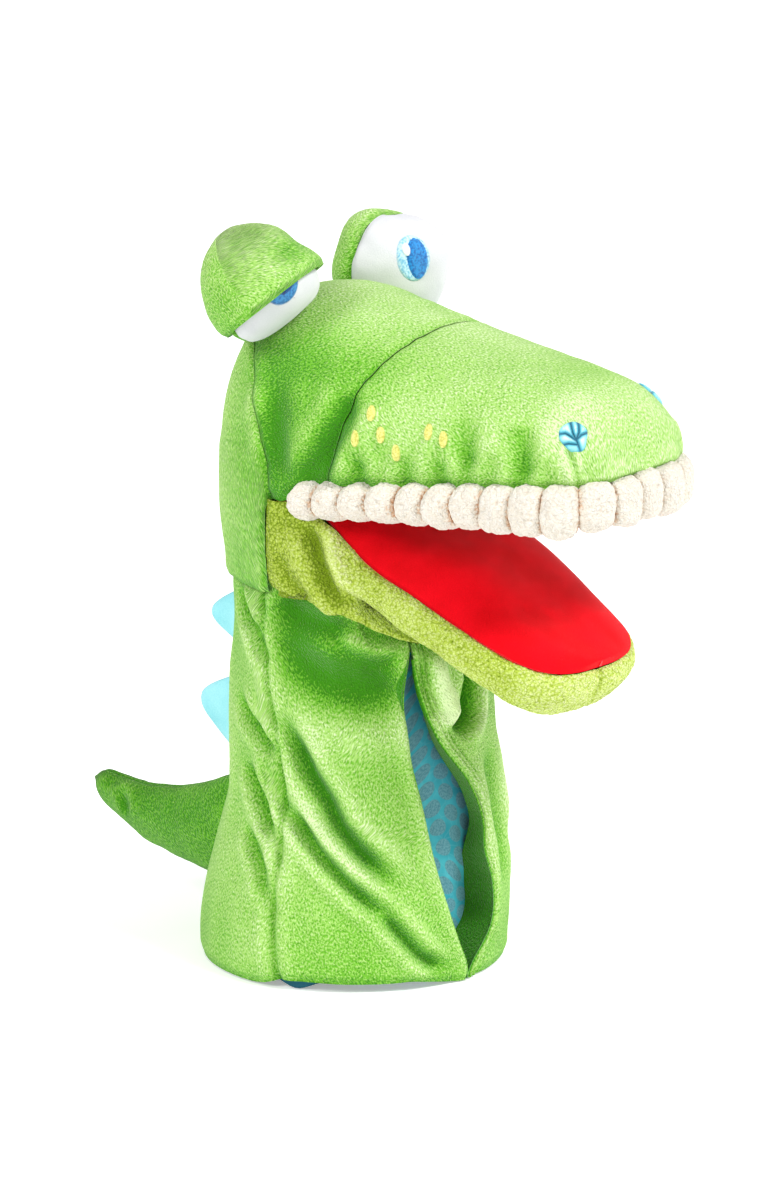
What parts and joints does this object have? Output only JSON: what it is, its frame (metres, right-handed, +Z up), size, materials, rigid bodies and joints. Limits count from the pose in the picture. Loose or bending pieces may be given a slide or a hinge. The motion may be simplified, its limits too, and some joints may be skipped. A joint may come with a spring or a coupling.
{
  "type": "moving mouth hand puppet",
  "caption": "Soft crocodile hand puppet that stands on its hem: arm sleeve with a front slit, nodding head, hand-worked jaw and a sewn-on tail.",
  "frame": {"origin": "centre of the arm opening, in the plane of the hem", "axes": "+Z up, -Y the way the snout points, -X the puppet's right side"},
  "size_m": [0.1213, 0.2779, 0.2917],
  "materials": {
    "green_pile": "short pile cloth, yellow-green on its raised parts",
    "lime_pile": "nubby pile cloth",
    "printed_cloth": "smooth printed cloth with grey-blue discs",
    "spike_cloth": "smooth soft cloth",
    "mouth_cloth": "smooth brushed cloth",
    "foam_board": "foam sheet",
    "pocket_cloth": "plain woven lining",
    "fibre": "loose polyester filling",
    "teeth_fleece": "curly fleece gathered into puffs",
    "nostril_thread": "satin stitch",
    "freckle_thread": "satin stitch",
    "eye_cloth": "smooth velour",
    "iris_thread": "satin stitch"
  },
  "bodies": {
    "sleeve": {"right_front_panel": "green_pile", "left_front_panel": "green_pile", "right_back_panel": "green_pile", "left_back_panel": "green_pile", "hem_band": "green_pile", "right_slit_facing": "green_pile", "left_slit_facing": "green_pile", "stomach_bag": "printed_cloth", "upper_spike": "spike_cloth", "lower_spike": "spike_cloth", "tail_root": "green_pile", "neck_collar": "green_pile"},
    "head": {"snout_panel": "green_pile", "crown_panel": "green_pile", "back_panel": "green_pile", "right_cheek_gusset": "lime_pile", "left_cheek_gusset": "lime_pile", "palate_lining": "mouth_cloth", "upper_mouth_board": "foam_board", "finger_pocket": "pocket_cloth", "snout_filling": "fibre", "teeth_row": "teeth_fleece", "right_nostril": "nostril_thread", "left_nostril": "nostril_thread", "right_freckles": "freckle_thread", "left_freckles": "freckle_thread", "right_eye_back": "green_pile", "right_eye_white": "eye_cloth", "right_eye_filling": "fibre", "right_iris": "iris_thread", "right_eyelid": "green_pile", "left_eye_back": "green_pile", "left_eye_white": "eye_cloth", "left_eye_filling": "fibre", "left_iris": "iris_thread"},
    "jaw": {"jaw_cover": "lime_pile", "tongue_lining": "mouth_cloth", "lower_mouth_board": "foam_board", "thumb_pocket": "pocket_cloth", "jaw_filling": "fibre"},
    "tail": {"tail_right_half": "green_pile", "tail_left_half": "green_pile", "tail_filling": "fibre"}
  },
  "joints": [
    {"name": "neck_nod", "type": "hinge", "parent": "sleeve", "child": "head", "pos_m": [0, 0, 0.15], "axis": [1, 0, 0], "range_deg": [-12, 10]},
    {"name": "jaw_hinge", "type": "hinge", "parent": "head", "child": "jaw", "pos_m": [0, -0.004, 0.184], "axis": [1, 0, 0], "range_deg": [-25, 6]},
    {"name": "tail_swing", "type": "hinge", "parent": "sleeve", "child": "tail", "pos_m": [0, 0.0681, 0.038], "axis": [0, 0, 1], "range_deg": [-35, 35], "stiffness_Nm_per_rad": 0.01}
  ]
}
